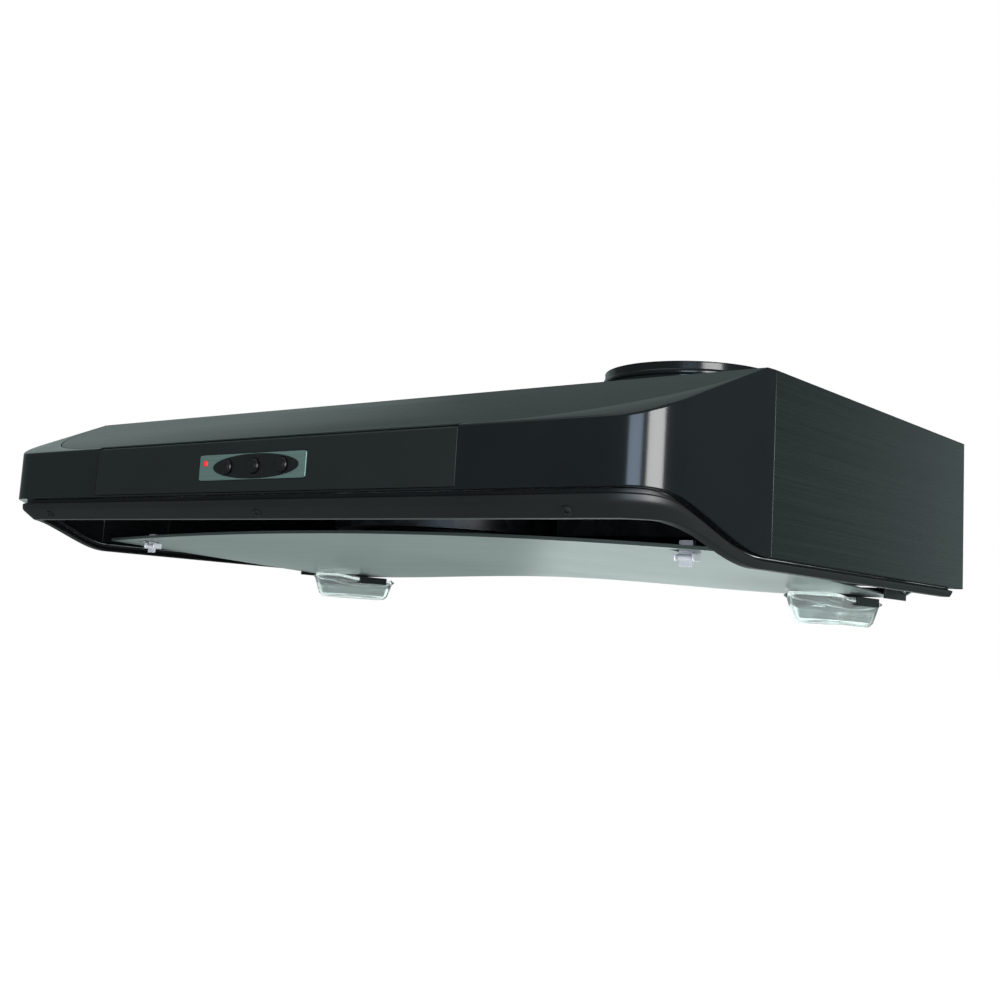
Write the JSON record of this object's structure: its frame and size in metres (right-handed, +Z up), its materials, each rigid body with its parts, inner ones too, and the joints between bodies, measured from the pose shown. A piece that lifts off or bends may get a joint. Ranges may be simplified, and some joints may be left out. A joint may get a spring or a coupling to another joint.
{
  "type": "under cabinet range hood",
  "caption": "Low under-cabinet range hood with a sloping cover, wrapped front with push buttons, drop-down grease pan, oil cups and a round duct collar.",
  "frame": {"origin": "centre of the flat top that is screwed up against the cabinet", "axes": "+X along the width to the right hand of a person facing the hood, +Y back towards the wall, +Z up into the cabinet"},
  "size_m": [0.762, 0.4724, 0.2105],
  "materials": {
    "gloss_black_paint": "gloss black baked enamel",
    "brushed_black_paint": "black steel with a fine horizontal brushed grain under clear lacquer",
    "satin_black_paint": "satin black powder coat",
    "cover_lacquer": "dark polished lacquer that mirrors a pale ceiling",
    "textured_black_plastic": "moulded charcoal plastic with a fine spark-erosion texture",
    "black_button_plastic": "polished black plastic",
    "silver_label": "fine satin aluminium plate",
    "red_lens": "clear red lens",
    "circuit_board": "green solder mask",
    "zinc_steel": "zinc plated sheet steel with spangle",
    "motor_steel": "dull pressed steel",
    "shaft_steel": "ground steel",
    "brushed_stainless": "brushed stainless steel",
    "bright_chrome": "bright chrome plate",
    "lamp_aluminium": "spun aluminium",
    "lamp_glass": "frosted glass",
    "clear_cup": "clear moulded plastic",
    "capacitor_film": "brown moulded case"
  },
  "bodies": {
    "housing": {"housing_shell": "satin_black_paint", "sloping_cover": "cover_lacquer", "front_fascia": "gloss_black_paint", "lower_rim": "satin_black_paint", "rim_screw_left": "satin_black_paint", "rim_screw_centre": "satin_black_paint", "rim_screw_right": "satin_black_paint", "control_panel": "textured_black_plastic", "label_plate": "silver_label", "button_bezel": "black_button_plastic", "led_lens": "red_lens", "switch_board": "circuit_board", "front_liner": "satin_black_paint", "blower_scroll": "zinc_steel", "inlet_ring": "textured_black_plastic", "blower_motor": "motor_steel", "blower_hanger": "zinc_steel", "run_capacitor": "capacitor_film", "terminal_box": "zinc_steel", "terminal_cover": "zinc_steel", "cable_gland": "textured_black_plastic", "outlet_box": "zinc_steel", "duct_collar": "gloss_black_paint", "damper_pin": "shaft_steel", "side_panel_left": "brushed_black_paint", "lamp_housing_left": "lamp_aluminium", "lamp_lens_left": "lamp_glass", "lamp_bulb_left": "lamp_glass", "hinge_bracket_left": "satin_black_paint", "latch_post_left": "satin_black_paint", "side_panel_right": "brushed_black_paint", "lamp_housing_right": "lamp_aluminium", "lamp_lens_right": "lamp_glass", "lamp_bulb_right": "lamp_glass", "hinge_bracket_right": "satin_black_paint", "latch_post_right": "satin_black_paint"},
    "light_button": {"button_light": "black_button_plastic"},
    "low_button": {"button_low": "black_button_plastic"},
    "high_button": {"button_high": "black_button_plastic"},
    "wheel": {"wheel_plate": "zinc_steel", "wheel_blades": "zinc_steel", "motor_shaft": "shaft_steel"},
    "flap_left": {"damper_flap_left": "zinc_steel"},
    "flap_right": {"damper_flap_right": "zinc_steel"},
    "pan": {"collector_pan": "brushed_stainless", "hinge_arm_left": "satin_black_paint", "hinge_pin_left": "shaft_steel", "latch_bracket_left": "bright_chrome", "cup_bracket_left": "textured_black_plastic", "hinge_arm_right": "satin_black_paint", "hinge_pin_right": "shaft_steel", "latch_bracket_right": "bright_chrome", "cup_bracket_right": "textured_black_plastic"},
    "latch_left": {"pan_latch_left": "bright_chrome"},
    "latch_right": {"pan_latch_right": "bright_chrome"},
    "cup_left": {"oil_cup_left": "clear_cup"},
    "cup_right": {"oil_cup_right": "clear_cup"}
  },
  "joints": [
    {"name": "light_press", "type": "slide", "parent": "housing", "child": "light_button", "axis": [0, 1, 0], "range_m": [0, 0.0014], "stiffness_N_per_m": 800},
    {"name": "low_press", "type": "slide", "parent": "housing", "child": "low_button", "axis": [0, 1, 0], "range_m": [0, 0.0014], "stiffness_N_per_m": 800},
    {"name": "high_press", "type": "slide", "parent": "housing", "child": "high_button", "axis": [0, 1, 0], "range_m": [0, 0.0014], "stiffness_N_per_m": 800},
    {"name": "wheel_spin", "type": "hinge", "parent": "housing", "child": "wheel", "pos_m": [-0.02, -0.0125, -0.07], "axis": [0, 0, 1], "continuous": true},
    {"name": "flap_left_swing", "type": "hinge", "parent": "housing", "child": "flap_left", "pos_m": [0.188, 0.0475, 0.012], "axis": [0, 1, 0], "range_deg": [0, 75]},
    {"name": "flap_right_swing", "type": "hinge", "parent": "housing", "child": "flap_right", "pos_m": [0.188, 0.0475, 0.012], "axis": [0, -1, 0], "range_deg": [0, 75]},
    {"name": "pan_swing", "type": "hinge", "parent": "housing", "child": "pan", "pos_m": [0, 0.124, -0.1305], "axis": [1, 0, 0], "range_deg": [0, 65]},
    {"name": "latch_left_turn", "type": "hinge", "parent": "pan", "child": "latch_left", "pos_m": [-0.31, -0.1545, -0.1244], "axis": [1, 0, 0], "range_deg": [0, 80]},
    {"name": "cup_left_slide", "type": "slide", "parent": "pan", "child": "cup_left", "axis": [0, -1, 0], "range_m": [0, 0.09]},
    {"name": "latch_right_turn", "type": "hinge", "parent": "pan", "child": "latch_right", "pos_m": [0.31, -0.1545, -0.1244], "axis": [1, 0, 0], "range_deg": [0, 80]},
    {"name": "cup_right_slide", "type": "slide", "parent": "pan", "child": "cup_right", "axis": [0, -1, 0], "range_m": [0, 0.09]}
  ]
}
